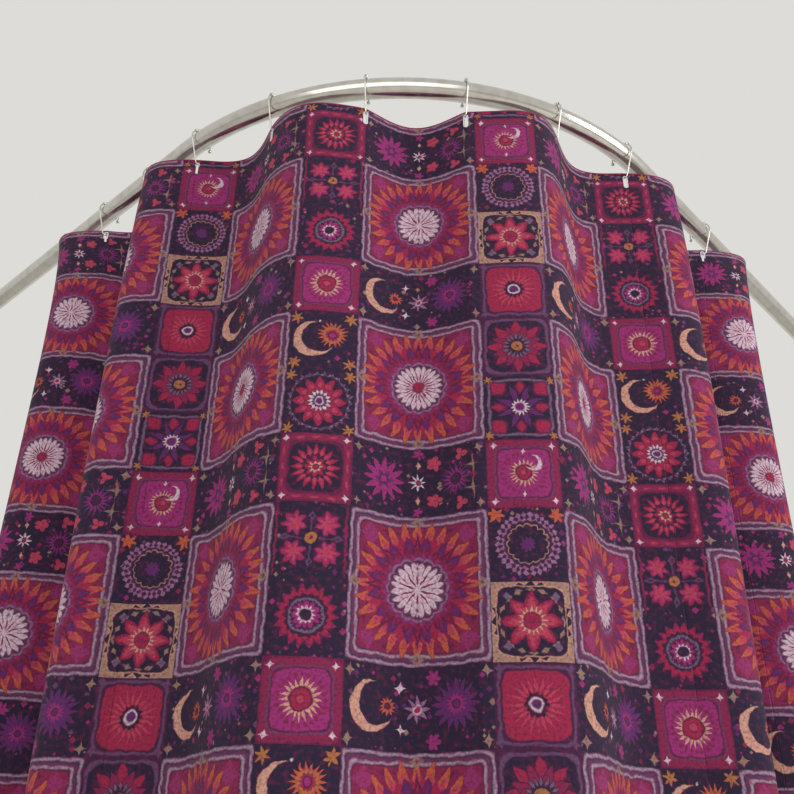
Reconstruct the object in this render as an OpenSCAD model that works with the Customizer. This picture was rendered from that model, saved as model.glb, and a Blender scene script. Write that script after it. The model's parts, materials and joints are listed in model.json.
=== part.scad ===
// Shower curtain on a bent corner rod: one printed cloth on twelve wire roller hooks.
// The rod turns a quarter circle round a corner shower and is screwed to the two walls.
// X runs across the front, Y into the corner, Z up. The origin is the middle of the left
// wall flange, on its wall face, at the height of the middle of the rod.

/* [Rod] */
// Outside diameter of the rod
rod_d = 30; // [28:0.5:32]
// Wall thickness of the rod
rod_wall = 1.2; // [1:0.1:2]
// Radius of the bend, to the middle of the rod
bend_r = 508; // [480:1:560]
// Straight length of each leg, from the bend to the wall
leg_len = 711; // [680:1:900]

/* [Wall flanges] */
// Diameter of the flange's disc
flange_d = 66; // [60:1:80]
// Thickness of the disc
flange_t = 4; // [3:0.5:6]
// Length of the collar that holds the rod
collar_len = 22; // [18:1:30]
// Wall of the collar
collar_wall = 3.5; // [3:0.5:5]
// Diameter of the circle through the screw holes
screw_pcd = 52; // [50:1:56]
// Diameter of a screw hole
screw_d = 4.6; // [4:0.1:5]
// Diameter of the set screw
set_screw_d = 4; // [3:1:5]

/* [Hooks] */
// Space from hook to hook along the bend
bend_gap = 143; // [138:1:150]
// Space from hook to hook along a leg
leg_gap = 129; // [120:1:140]
// How far the middle of the curtain sits right of the middle of the bend
curtain_shift = -7.5; // [-15:0.5:15]
// Diameter of the hook's wire
wire_d = 2.2; // [2:0.1:2.4]
// Diameter of a roller bead
bead_d = 6; // [5.5:0.1:6.4]
// Angle from bead to bead round the rod
bead_step = 20; // [20:0.5:22]
// Drop from the middle of the rod to the bottom of the hook
hook_drop = 47.9; // [45:0.1:60]
// Radius of the lower hook, to the middle of its wire
crook_r = 4.5; // [4.2:0.1:6]
// Diameter of the ball that ends the wire behind the rod
end_ball_d = 5.4; // [4:0.1:6]
// Diameter of the ball that ends the lower hook
tip_ball_d = 3.8; // [3:0.1:4]

/* [Curtain] */
// Height of the curtain
curtain_h = 1880; // [1700:10:2000]
// Cloth from buttonhole to buttonhole
hole_pitch = 158.75; // [155:0.25:165]
// Cloth from the last buttonhole to the side edge
side_margin = 28.4; // [20:0.1:35]
// Thickness of the cloth solid
cloth_t = 1; // [0.8:0.1:1.5]
// Distance from the top edge down to a buttonhole's slit
slit_drop = 7; // [6:0.5:14]

/* [Buttonholes] */
// Length of the stitched oval
oval_h = 24; // [20:0.5:26]
// Width of the stitched oval
oval_w = 9.2; // [8.8:0.1:11]
// Width of each stitched side
stitch_w = 2; // [1.5:0.1:2.2]

/* [Hidden] */
HOOKS = 12;
SIDE_HOOKS = 3;              // hooks that run on each straight leg
BEADS = 5;
SCREWS = 3;
TURN = 45;                   // the bend turns 45 degrees each side of its middle
FOLD_STEPS = 14;             // straight steps in one fold of the cloth solid
FIT_GAP = 0.05;              // running gap of the rod in its collars
BEAD_GAP = 0.15;             // play between a bead and the rod
BEAD_BORE = 0.8;             // how much wider than the wire a bead's bore is
KNUCKLE = 1.04;              // the wire swells this much where a bend meets a straight
ROD_END = 3;                 // the rod stops this far short of the wall
SLIT_PLAY = 0.5;             // from the top of the lower hook up to the end of the slit
PANEL_GAP = 0.8;             // slot between two cloth solids that move apart
STEEL = [0.78, 0.77, 0.74];
PRINT = [0.55, 0.12, 0.33];
THREAD = [0.96, 0.95, 0.95];

arc_half = bend_r * TURN * PI / 180;
arch_r = rod_d / 2 + BEAD_GAP + bead_d / 2;
crook_z = crook_r - hook_drop;
lean = asin((arch_r - crook_r) / -crook_z);
hem_z = wire_d / 2 - hook_drop + slit_drop + SLIT_PLAY;
slit_top = hem_z - slit_drop;
slit_h = oval_h - 2 * stitch_w;
oval_z = slit_top - slit_h / 2;
wall_x = bend_r * sin(TURN) + leg_len * cos(TURN);
wall_y = bend_r * (1 - cos(TURN)) + leg_len * sin(TURN);

// ---- along the rod: s is the distance from the middle of the bend, n is outward ----
function heading(s) = max(-TURN, min(TURN, s / bend_r * 180 / PI));
function past_bend(s) = s - heading(s) * bend_r * PI / 180;
function rod_point(s, n = 0) =
    let (a = heading(s), e = past_bend(s))
    [bend_r * sin(a) + e * cos(a) + n * sin(a),
     bend_r * (1 - cos(a)) + e * sin(a) - n * cos(a)];

// ---- hooks are numbered 0 to 11 from the left ----
function from_middle(k) = abs(k - (HOOKS - 1) / 2);
function hook_s(k) =
    let (m = from_middle(k), on_bend = min(m, 2.5), on_leg = m - on_bend)
    curtain_shift + sign(k - (HOOKS - 1) / 2) * (on_bend * bend_gap + on_leg * leg_gap);
function two_digits(k) = str(k < 9 ? "0" : "", k + 1);

// ---- folds: the cloth swings out and in by turns, half a wave from hook to hook ----
function fold_side(k) = k % 2 == 0 ? 1 : -1;
function fold_s(k, t) = hook_s(k) + t * (hook_s(k + 1) - hook_s(k));
function fold_point(k, t, depth) = rod_point(fold_s(k, t), depth * sin(180 * t));
function fold_length(k, depth, i = 0) =
    i >= FOLD_STEPS ? 0
    : norm(fold_point(k, (i + 1) / FOLD_STEPS, depth) - fold_point(k, i / FOLD_STEPS, depth))
      + fold_length(k, depth, i + 1);
// depth at which one fold takes up exactly the cloth between two buttonholes
function fold_depth(k, lo = 0, hi = 90, turns = 16) =
    let (mid = (lo + hi) / 2)
    turns == 0 ? mid * fold_side(k)
    : fold_length(k, mid * fold_side(k)) < hole_pitch
      ? fold_depth(k, mid, hi, turns - 1)
      : fold_depth(k, lo, mid, turns - 1);
DEPTHS = [for (k = [0:HOOKS - 2]) fold_depth(k)];

// a point of the cloth's middle line, where w counts buttonholes from the left
function cloth_point(w) =
    let (k = max(0, min(HOOKS - 2, floor(w))), t = w - k)
    fold_point(k, t, DEPTHS[k]);
function cloth_dir(w) =
    let (d = cloth_point(w + 0.01) - cloth_point(w - 0.01)) d / norm(d);
function cloth_side(w, side) =
    let (d = cloth_dir(w)) cloth_point(w) + side * cloth_t / 2 * [-d[1], d[0]];

// ---- placing ----
module at_origin() {
    translate([wall_x, -wall_y, 0]) children();
}

// children are drawn with X outward from the rod, Y along it, Z up
module at_hook(k) {
    s = hook_s(k);
    p = rod_point(s);
    at_origin() translate([p[0], p[1], 0]) rotate([0, 0, heading(s) - 90]) children();
}

// children are drawn on the wall face, with +Z running out along the rod
module at_wall(side) {
    translate([side < 0 ? 0 : 2 * wall_x, 0, 0])
        rotate([0, 0, side < 0 ? -TURN : 180 + TURN]) rotate([0, 90, 0]) children();
}

// ---- rod ----
module tube_section() {
    difference() {
        circle(d = rod_d, $fn = 64);
        circle(d = rod_d - 2 * rod_wall, $fn = 64);
    }
}

module curtain_rod() {
    leg = leg_len - ROD_END;
    color(STEEL) at_origin() translate([0, bend_r, 0]) rotate([0, 0, -90 - TURN]) union() {
        rotate_extrude(angle = 2 * TURN, $fn = 180) translate([bend_r, 0]) tube_section();
        translate([bend_r, 0, 0]) rotate([90, 0, 0]) linear_extrude(leg) tube_section();
        translate([0, bend_r, 0]) rotate([0, -90, 0]) linear_extrude(leg) tube_section();
    }
}

module wall_flange(side) {
    collar_r = rod_d / 2 + FIT_GAP + collar_wall;
    color(STEEL) at_wall(side) difference() {
        rotate_extrude($fn = 96) polygon([
            [0, 0], [flange_d / 2, 0], [flange_d / 2, flange_t - 1.5], [flange_d / 2 - 1.5, flange_t],
            [collar_r + 2, flange_t], [collar_r, flange_t + 2],
            [collar_r, collar_len - 0.8], [collar_r - 0.8, collar_len],
            [rod_d / 2 + FIT_GAP, collar_len], [rod_d / 2 + FIT_GAP, ROD_END - 0.5],
            [0, ROD_END - 0.5]]);
        for (i = [0:SCREWS - 1]) rotate([0, 0, i * 360 / SCREWS]) translate([screw_pcd / 2, 0, 0]) {
            translate([0, 0, -1]) cylinder(d = screw_d, h = flange_t + 2, $fn = 32);
            translate([0, 0, flange_t - 1.6]) cylinder(d1 = screw_d, d2 = screw_d + 4, h = 2, $fn = 32);
        }
        translate([0, 0, collar_len / 2 + flange_t / 2]) rotate([0, 90, 0])
            cylinder(d = set_screw_d + 0.1, h = flange_d, $fn = 32);
    }
}

module set_screw(side) {
    color(STEEL) at_wall(side) translate([0, 0, collar_len / 2 + flange_t / 2]) rotate([0, 90, 0])
        difference() {
            translate([0, 0, rod_d / 2 + FIT_GAP / 2])
                cylinder(d = set_screw_d, h = collar_wall, $fn = 32);
            translate([0, 0, rod_d / 2 + collar_wall - 1.4])
                cylinder(d = set_screw_d / 2, h = 3, $fn = 6);
        }
}

// ---- hooks, drawn upright: local X is outward, so the wire lies in the XZ plane ----
module wire_arc(r, from, turn) {
    rotate([90, 0, 0]) rotate([0, 0, from])
        rotate_extrude(angle = turn, $fn = 96) translate([r, 0]) circle(d = wire_d, $fn = 24);
}

module wire_run(a, b) {
    d = b - a;
    translate([a[0], 0, a[1]]) rotate([0, atan2(d[0], d[1]), 0])
        cylinder(d = wire_d, h = norm(d), $fn = 24);
}

module ball(at, d = wire_d * KNUCKLE) {
    translate([at[0], 0, at[1]]) sphere(d = d, $fn = 32);
}

module hook_wire(k) {
    stem_top = arch_r * [cos(lean), -sin(lean)];
    stem_foot = [crook_r * cos(lean), crook_z - crook_r * sin(lean)];
    rear_end = [-arch_r, -8];
    tip = [-crook_r, crook_z + 6];
    color(STEEL) at_hook(k) union() {
        wire_arc(arch_r, -lean, 180 + lean);
        ball([-arch_r, 0]);
        wire_run([-arch_r, 0], rear_end);
        ball(rear_end, end_ball_d);
        ball(stem_top);
        wire_run(stem_top, stem_foot);
        ball(stem_foot);
        translate([0, 0, crook_z]) wire_arc(crook_r, 180, 180 - lean);
        ball([-crook_r, crook_z]);
        wire_run([-crook_r, crook_z], tip);
        ball(tip, tip_ball_d);
    }
}

module hook_beads(k) {
    color(STEEL) at_hook(k) for (i = [0:BEADS - 1])
        rotate([0, (i - (BEADS - 1) / 2) * bead_step, 0]) translate([0, 0, arch_r])
            rotate([0, 90, 0]) difference() {
                sphere(d = bead_d, $fn = 32);
                cylinder(d = wire_d + BEAD_BORE, h = 2 * bead_d, center = true, $fn = 32);
            }
}

// ---- cloth ----
module oval(w, h) {
    union() {
        square([w, h - w], center = true);
        for (y = [-1, 1]) translate([0, y * (h - w) / 2]) circle(d = w, $fn = 48);
    }
}

// children are drawn with X along the cloth, Y through it, at buttonhole k
module at_buttonhole(k) {
    p = cloth_point(k);
    d = cloth_dir(k);
    at_origin() translate([p[0], p[1], oval_z]) rotate([0, 0, atan2(d[1], d[0])]) children();
}

module buttonhole(k) {
    color(THREAD) at_buttonhole(k) rotate([90, 0, 0]) translate([0, 0, -cloth_t / 2])
        linear_extrude(cloth_t) difference() {
            oval(oval_w, oval_h);
            oval(oval_w - 2 * stitch_w, oval_h - 2 * stitch_w);
        }
}

// cloth between two places on it, both counted in buttonholes from the left
module cloth_panel(from, to) {
    steps = round((to - from) * FOLD_STEPS);
    line = [for (i = [0:steps]) from + (to - from) * i / steps];
    front = [for (w = line) cloth_side(w, -1)];
    back = [for (i = [steps:-1:0]) cloth_side(line[i], 1)];
    color(PRINT) difference() {
        at_origin() translate([0, 0, hem_z - curtain_h])
            linear_extrude(curtain_h) polygon(concat(front, back));
        for (k = [0:HOOKS - 1]) if (k > from - 0.1 && k < to + 0.1)
            at_buttonhole(k) cube([oval_w + 1, 6, oval_h + 1], center = true);
    }
}

slot = PANEL_GAP / hole_pitch / 2;
margin = side_margin / hole_pitch;
last = HOOKS - 1;

module cloth_left_end() { cloth_panel(-margin, 1 - slot); }
module cloth_left_middle() { cloth_panel(1 + slot, 2 - slot); }
module cloth_left_inner() { cloth_panel(2 + slot, SIDE_HOOKS - slot); }
module cloth_centre() { cloth_panel(SIDE_HOOKS + slot, last - SIDE_HOOKS - slot); }
module cloth_right_inner() { cloth_panel(last - SIDE_HOOKS + slot, last - 2 - slot); }
module cloth_right_middle() { cloth_panel(last - 2 + slot, last - 1 - slot); }
module cloth_right_end() { cloth_panel(last - 1 + slot, last + margin); }

curtain_rod();
wall_flange(-1);  // left_wall_flange
wall_flange(1);  // right_wall_flange
set_screw(-1);  // left_set_screw
set_screw(1);  // right_set_screw
for (k = [0:HOOKS - 1]) {
    hook_wire(k);
    hook_beads(k);
    buttonhole(k);
}
cloth_left_end();
cloth_left_middle();
cloth_left_inner();
cloth_centre();
cloth_right_inner();
cloth_right_middle();
cloth_right_end();
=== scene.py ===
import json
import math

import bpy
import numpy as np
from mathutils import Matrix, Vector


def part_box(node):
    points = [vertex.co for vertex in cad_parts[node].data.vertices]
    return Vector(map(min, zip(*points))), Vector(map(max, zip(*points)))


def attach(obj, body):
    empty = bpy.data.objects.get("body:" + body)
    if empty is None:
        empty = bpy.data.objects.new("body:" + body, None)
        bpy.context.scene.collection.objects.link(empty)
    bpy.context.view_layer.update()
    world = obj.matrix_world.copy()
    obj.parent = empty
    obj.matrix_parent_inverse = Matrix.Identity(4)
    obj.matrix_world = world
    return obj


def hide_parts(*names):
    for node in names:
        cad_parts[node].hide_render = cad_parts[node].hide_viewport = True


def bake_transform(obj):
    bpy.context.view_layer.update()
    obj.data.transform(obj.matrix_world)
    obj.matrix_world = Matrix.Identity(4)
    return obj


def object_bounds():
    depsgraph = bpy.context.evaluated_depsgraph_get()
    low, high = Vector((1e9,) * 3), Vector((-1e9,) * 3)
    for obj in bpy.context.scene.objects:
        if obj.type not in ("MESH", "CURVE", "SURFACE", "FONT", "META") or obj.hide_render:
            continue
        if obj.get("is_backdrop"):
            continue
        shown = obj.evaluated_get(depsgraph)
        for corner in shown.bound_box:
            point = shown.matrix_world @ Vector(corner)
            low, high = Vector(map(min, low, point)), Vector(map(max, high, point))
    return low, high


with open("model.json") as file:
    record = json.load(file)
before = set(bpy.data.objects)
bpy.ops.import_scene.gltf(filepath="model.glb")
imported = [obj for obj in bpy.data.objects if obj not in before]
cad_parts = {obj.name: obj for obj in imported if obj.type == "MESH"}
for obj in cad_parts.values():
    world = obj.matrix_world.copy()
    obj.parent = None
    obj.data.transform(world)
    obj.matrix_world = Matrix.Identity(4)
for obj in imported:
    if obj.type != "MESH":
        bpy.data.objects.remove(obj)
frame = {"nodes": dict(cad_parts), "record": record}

# %% [markdown]
# # A printed shower curtain on a bent corner rod
# The rod, its wall flanges, the twelve wire hooks and their roller beads are exact solids that come
# with the frame. What is left for Blender is what a solid modeller is bad at: one thin cloth that
# hangs in folds, its stitched buttonholes, its printed patchwork, and the finish of the metal.
# Everything is in metres. The middle of the left flange's wall face is the origin, X runs across the
# front, Y into the corner, Z up.

cad_low, cad_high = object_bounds()
parts = frame["nodes"]
print("size in metres:", [round(v, 3) for v in cad_high - cad_low])


def clear_selection():
    bpy.ops.object.select_all(action="DESELECT")


def select_only(piece):
    clear_selection()
    piece.select_set(True)
    bpy.context.view_layer.objects.active = piece


# %% [markdown]
# ## The rod's line
# Every hook, fold and thread is placed along one line: a straight leg, a quarter circle, a straight
# leg. A place on it is told by `s`, the distance from the middle of the bend, and `n`, how far it
# stands out from the rod towards the room. Writing the curtain in these two numbers keeps the folds
# square to the rod wherever they hang.

# %% The rod's line
BEND, ROD_RADIUS = 0.508, 0.015
TURN = math.radians(45)
rod_low, rod_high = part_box("curtain_rod")
MIDDLE_X = (rod_low.x + rod_high.x) / 2
APEX_Y = rod_low.y + ROD_RADIUS


def rod_place(s, n):
    """X and Y of places along the rod, where s and n may be arrays."""
    a = np.clip(s / BEND, -TURN, TURN)
    past = s - a * BEND
    x = BEND * np.sin(a) + past * np.cos(a) + n * np.sin(a)
    y = BEND * (1 - np.cos(a)) + past * np.sin(a) - n * np.cos(a)
    return MIDDLE_X + x, APEX_Y + y


print("middle of the bend:", round(MIDDLE_X, 4), round(APEX_Y, 4))

# %% [markdown]
# ## Twelve hooks
# The hooks stand 143 mm apart on the bend and 129 mm apart on the legs, and the whole curtain sits
# 7.5 mm left of the middle. The cloth between two buttonholes is 158.75 mm long, more than the space
# between the hooks, and that surplus is what makes the folds.

# %% Hook places
HOOKS = 12
BEND_GAP, LEG_GAP, SHIFT = 0.143, 0.129, -0.0075
PITCH = 0.15875
MARGIN = 0.0284


def hook_place(k):
    m = k - (HOOKS - 1) / 2
    on_bend = min(abs(m), 2.5)
    return SHIFT + math.copysign(on_bend * BEND_GAP + (abs(m) - on_bend) * LEG_GAP, m)


hooks = np.array([hook_place(k) for k in range(HOOKS)])
for k in (0, 5, 11):
    low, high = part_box(f"hook_wire_{k + 1:02d}")
    x, y = rod_place(hooks[k], 0.0)
    print("hook", k + 1, "off its solid by mm:",
          round(1000 * math.hypot((low.x + high.x) / 2 - x, (low.y + high.y) / 2 - y), 1))

# %% [markdown]
# ## How the cloth hangs
# A sheet of cloth bends but hardly stretches. So the folds aren't drawn freely: at each height the
# depth of every fold is solved until the cloth between two buttonholes is exactly as long as the cloth
# that was cut. The folds go out and in by turns, half a wave from hook to hook. Two things make it
# hang like cloth and not like corrugated sheet: the outermost folds drift in towards their
# neighbours below the hem, and small soft waves wander over the whole sheet.
# A cloth simulation was the other way. It would give much the same sheet, because hanging cloth is
# ruled by its length, and solving the length directly is exact and the same in every run.

# %% The fold solver
CLOTH_H = 1.880
HEM_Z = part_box("cloth_centre")[1].z
FINE = np.linspace(0, 1, 61)
LEAN = {4: 0.25, 6: -0.55}      # folds whose crest stands off the middle, and by how much
DRAWN_IN, DRAWN_OVER = 0.057, 0.14


def drift(w, v):
    """How far a buttonhole's column has moved towards the bend at height v below the hem."""
    side = 1 if w < HOOKS / 2 else -1
    outer = min(w, HOOKS - 1 - w)
    share = {0: 1.0, 1: 0.8, 2: 0.25}.get(outer, 0.0)
    return side * share * DRAWN_IN * (1 - np.exp(-v / DRAWN_OVER))


def fold_curve(k, s0, s1, depth):
    t = FINE + LEAN.get(k, 0.0) * FINE * (1 - FINE)
    wave = np.sin(math.pi * t)
    s = s0[:, None] + (s1 - s0)[:, None] * FINE
    return s, depth[:, None] * wave * (1 if k % 2 == 0 else -1)


def arc_steps(s, n):
    x, y = rod_place(s, n)
    return np.hypot(np.diff(x, axis=1), np.diff(y, axis=1))


def solve_fold(k, s0, s1):
    low, high = np.zeros(len(s0)), np.full(len(s0), 0.09)
    for _ in range(22):
        middle = (low + high) / 2
        short = arc_steps(*fold_curve(k, s0, s1, middle)).sum(1) < PITCH
        low, high = np.where(short, middle, low), np.where(short, high, middle)
    return fold_curve(k, s0, s1, (low + high) / 2)


# %% Which tile of the print a place lies in
UNIT, TOP_BAND = 0.0848, 0.17       # a tile's side in metres, and where the first row starts, in tiles
FIRST_TO_MIDDLE = 5.5 * PITCH + 0.0068      # first buttonhole to the middle of the print


def tile_number(u, v):
    """0 and 1 are the medallions, 2 and 3 the strips between them, 4 to 15 the small tiles."""
    across, down = u / UNIT + 1, v / UNIT - TOP_BAND
    lower = (down % 6 >= 3).astype(int)
    small = 4 + np.floor(down % 6).astype(int) + 6 * (np.floor(across / 3) % 2).astype(int)
    return np.where(across % 3 >= 2, small, np.where(down % 3 >= 1, lower, 2 + lower))


# %% Rows and columns of the sheet
def steps_between(a, b, size):
    return list(np.linspace(a, b, max(1, round((b - a) / size)) + 1)[:-1])


def with_lines(places, lines):
    """The places, and the lines of the print between them, so that every quad lies in one tile."""
    new = [p for p in lines if places[0] < p < places[-1] and np.abs(np.array(places) - p).min() > 0.0003]
    return np.array(sorted(list(places) + new))


SLIT_TOP, SLIT_LOW, SLIT_HALF = 0.007, 0.027, 0.0018
rows = (steps_between(0, SLIT_TOP, 0.0018) + steps_between(SLIT_TOP, SLIT_LOW, 0.0026)
        + steps_between(SLIT_LOW, 0.042, 0.004) + steps_between(0.042, CLOTH_H - 0.03, 0.0094)
        + steps_between(CLOTH_H - 0.03, CLOTH_H, 0.004) + [CLOTH_H])
rows = with_lines(rows, (np.arange(24) + TOP_BAND) * UNIT)
near = [SLIT_HALF, 0.0045, 0.0085]
one_pitch = (near + steps_between(near[-1], PITCH - near[-1], 0.0047)[1:]
             + [PITCH - d for d in reversed(near)])
print("rows:", len(rows), "columns from hook to hook:", len(one_pitch) + 1)


def columns(first, last):
    """Flat distances across the cloth, counted from the first buttonhole, of one panel's columns."""
    out = []
    if first < 0:
        out += [-MARGIN, -MARGIN + 0.003, -MARGIN + 0.006, -0.017, -0.012, -0.0085, -0.0045, -SLIT_HALF]
    for k in range(max(first, 0), min(last, HOOKS - 1)):
        out += [k * PITCH] + [k * PITCH + d for d in one_pitch]
    end = min(last, HOOKS - 1) * PITCH
    out.append(end)
    if last > HOOKS - 1:
        out += [end + d for d in (SLIT_HALF, 0.0045, 0.0085, 0.012, 0.017,
                                  MARGIN - 0.006, MARGIN - 0.003, MARGIN)]
    return with_lines(out, [FIRST_TO_MIDDLE + UNIT * (3 * k + side) for k in range(-4, 5) for side in (-1, 1)])


# %% [markdown]
# ## One sheet, then seven pieces
# The whole sheet is worked out once, as a table of points by row and by flat distance. The pieces
# are only windows on that table, so neighbours share their edge exactly and no seam shows. They are
# cut at the hooks that move.

# %% Points of the whole sheet
waves = np.random.default_rng(7)
WANDER = [(waves.uniform(9, 26), waves.uniform(-5, 5), waves.uniform(0, 6.28), waves.uniform(0.4, 1.0))
          for _ in range(9)]


def wander(u, v):
    """Small soft waves, zero at the top edge and at full size a hand's breadth below it."""
    total = sum(size * np.sin(a * u + b * v + c) for a, b, c, size in WANDER)
    return 0.0011 * total * (1 - np.exp(-v / 0.10))


def sheet_points():
    """Dense columns: flat distance, and X and Y for every row."""
    flat, xs, ys = [], [], []
    for k in range(HOOKS - 1):
        s0, s1 = hooks[k] + drift(k, rows), hooks[k + 1] + drift(k + 1, rows)
        s, n = solve_fold(k, s0, s1)
        along = np.cumsum(arc_steps(s, n), axis=1)
        along = np.hstack([np.zeros((len(rows), 1)), along]) / along[:, -1:] * PITCH
        x, y = rod_place(s, n)
        if k == 0 or k == HOOKS - 2:
            x, y, along = end_flap(k, x, y, along)
        flat.append(along + k * PITCH)
        xs.append(x)
        ys.append(y)
    return flat, xs, ys


def end_flap(k, x, y, along):
    """The few centimetres past the last buttonhole carry straight on, with a slight turn."""
    edge, inner, sign = (0, 2, -1) if k == 0 else (-1, -3, 1)
    dx, dy = x[:, edge] - x[:, inner], y[:, edge] - y[:, inner]
    size = np.hypot(dx, dy)
    dx, dy = dx / size, dy / size
    reach = np.linspace(0, MARGIN, 8)[1:]
    bend = sign * 6.0 * reach ** 2
    px = x[:, [edge]] + dx[:, None] * reach - dy[:, None] * bend
    py = y[:, [edge]] + dy[:, None] * reach + dx[:, None] * bend
    if k == 0:
        return (np.hstack([px[:, ::-1], x]), np.hstack([py[:, ::-1], y]),
                np.hstack([-np.tile(reach[::-1], (len(rows), 1)), along]))
    return (np.hstack([x, px]), np.hstack([y, py]),
            np.hstack([along, PITCH + np.tile(reach, (len(rows), 1))]))


dense_flat, dense_x, dense_y = sheet_points()
crest = len(FINE) // 2
away = np.hypot(dense_x[1][:, crest] - dense_x[1][:, 0], dense_y[1][:, crest] - dense_y[1][:, 0])
print("second fold, hook to crest in mm:", round(1000 * away.min(), 1), "to", round(1000 * away.max(), 1))


def sheet_at(row, u):
    """X and Y of the cloth on one row at flat distances u."""
    x, y = np.empty(len(u)), np.empty(len(u))
    which = np.clip(np.floor(u / PITCH + 1e-9).astype(int), 0, HOOKS - 2)
    for k in np.unique(which):
        here = which == k
        x[here] = np.interp(u[here], dense_flat[k][row], dense_x[k][row])
        y[here] = np.interp(u[here], dense_flat[k][row], dense_y[k][row])
    return x, y


# %% [markdown]
# ## From table to mesh
# Each piece becomes a grid of quads with the slits of its buttonholes left open. The flat place of
# every point is kept as the UV map, in metres from the middle of the print and down from the hem, so
# the print, the weave and the stitching lie on the cloth as they were printed, before it was folded.
# The grid has a line along every border of the print, so that each quad lies in one tile and can
# carry that tile's number. Solidify then gives the cloth its 0.48 mm, and 1.6 mm along the rolled
# hems. It numbers the faces of the back sixteen higher, because the back has finishes of its own.

# %% Making a cloth piece
TILES = 16
HEM_BAND, HEM_THICK, CLOTH_SHARE = 0.0022, 0.0016, 0.30
SAG, SAG_NEAR, SAG_DOWN = 0.0022, 0.03, 0.25     # the top edge droops between its hooks


def at_slit(u_mid, v_mid):
    k = round(u_mid / PITCH)
    return 0 <= k < HOOKS and abs(u_mid - k * PITCH) < SLIT_HALF and SLIT_TOP < v_mid < SLIT_LOW


def grid_of(u):
    """Points of a piece as one array, row by row."""
    out = np.zeros((len(rows), len(u), 3))
    for i, v in enumerate(rows):
        x, y = sheet_at(i, u)
        xa, ya = sheet_at(i, u - 0.0015)
        xb, yb = sheet_at(i, u + 0.0015)
        size = np.hypot(xb - xa, yb - ya) + 1e-9
        push = wander(u, v)
        from_hook = np.abs(u / PITCH - np.round(u / PITCH)) * PITCH
        out[i, :, 0] = x + (yb - ya) / size * push
        out[i, :, 1] = y - (xb - xa) / size * push
        sag = SAG * (1 - np.exp(-(from_hook / SAG_NEAR) ** 2)) * math.exp(-v / SAG_DOWN)
        out[i, :, 2] = HEM_Z - v - sag
    return out


def cloth_piece(name, first, last):
    u = columns(first, last)
    points = grid_of(u)
    u_middles, v_middles = (u[1:] + u[:-1]) / 2, (rows[1:] + rows[:-1]) / 2
    number = tile_number(u_middles[None, :] - FIRST_TO_MIDDLE, v_middles[:, None])
    cols = len(u)
    faces, tiles = [], []
    for i in range(len(rows) - 1):
        for j in range(cols - 1):
            if not at_slit(u_middles[j], v_middles[i]):
                a = i * cols + j
                faces.append((a, a + cols, a + cols + 1, a + 1))
                tiles.append(number[i, j])
    mesh = bpy.data.meshes.new(name)
    mesh.from_pydata(points.reshape(-1, 3).tolist(), [], faces)
    for _ in range(2 * TILES):      # a place for each tile's front, then for each tile's back
        mesh.materials.append(None)
    mesh.polygons.foreach_set("material_index", tiles)
    uv = mesh.uv_layers.new(name="flat")
    index = np.empty(len(mesh.loops), int)
    mesh.loops.foreach_get("vertex_index", index)
    flat = np.stack(np.broadcast_arrays(u[None, :] - FIRST_TO_MIDDLE, rows[:, None]), -1).reshape(-1, 2)
    uv.data.foreach_set("uv", flat[index].ravel())
    piece = bpy.data.objects.new(name, mesh)
    bpy.context.scene.collection.objects.link(piece)
    hem = piece.vertex_groups.new(name="hem")
    uu, vv = flat[:, 0] + FIRST_TO_MIDDLE, flat[:, 1]
    edge = np.minimum(np.minimum(vv, CLOTH_H - vv), np.minimum(uu + MARGIN, 11 * PITCH + MARGIN - uu))
    for share, chosen in ((1.0, edge < HEM_BAND), (CLOTH_SHARE, edge >= HEM_BAND)):
        hem.add(np.flatnonzero(chosen).tolist(), share, "REPLACE")
    mesh.polygons.foreach_set("use_smooth", [True] * len(mesh.polygons))
    return piece


def thicken(piece):
    select_only(piece)
    wall = piece.modifiers.new("thickness", "SOLIDIFY")
    wall.thickness = HEM_THICK
    wall.offset = 0
    wall.vertex_group = "hem"
    wall.use_even_offset = False
    wall.material_offset = TILES
    bpy.ops.object.modifier_apply(modifier=wall.name)


# %% The seven pieces
PANELS = [("cloth_left_end", -1, 1), ("cloth_left_middle", 1, 2), ("cloth_left_inner", 2, 3),
          ("cloth_centre", 3, 8), ("cloth_right_inner", 8, 9), ("cloth_right_middle", 9, 10),
          ("cloth_right_end", 10, 12)]
cloth = {}
for name, first, last in PANELS:
    piece = cloth_piece("curtain_" + name[6:], first, last)
    cloth[name] = piece
    print(piece.name, len(piece.data.polygons), "quads")

# %% [markdown]
# ## Sums that run over a surface
# The print is drawn with arithmetic, not with an image: a petal is a place where the distance from a
# flower's middle is less than a number that swings with the angle. Node trees made of such sums are
# hard to read as nodes, so a small class lets them be written as ordinary Python. Each `+` or `*`
# below simply adds one Math node.

# %% Arithmetic that builds nodes
class Field:
    """A value that varies over the surface."""

    def __init__(self, tree, socket):
        self.tree, self.socket = tree, socket

    def __add__(self, other): return sums(self.tree, "ADD", self, other)
    def __sub__(self, other): return sums(self.tree, "SUBTRACT", self, other)
    def __rsub__(self, other): return sums(self.tree, "SUBTRACT", other, self)
    def __mul__(self, other): return sums(self.tree, "MULTIPLY", self, other)
    def __truediv__(self, other): return sums(self.tree, "DIVIDE", self, other)
    def __rtruediv__(self, other): return sums(self.tree, "DIVIDE", other, self)
    def __mod__(self, other): return sums(self.tree, "FLOORED_MODULO", self, other)
    def __pow__(self, other): return sums(self.tree, "POWER", self, other)
    def __abs__(self): return sums(self.tree, "ABSOLUTE", self)
    __radd__, __rmul__ = __add__, __mul__


def plug(tree, value, socket):
    if isinstance(value, Field):
        tree.links.new(value.socket, socket)
    elif isinstance(value, str):
        socket.default_value = shade(value)
    elif value is not None:
        socket.default_value = value


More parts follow.
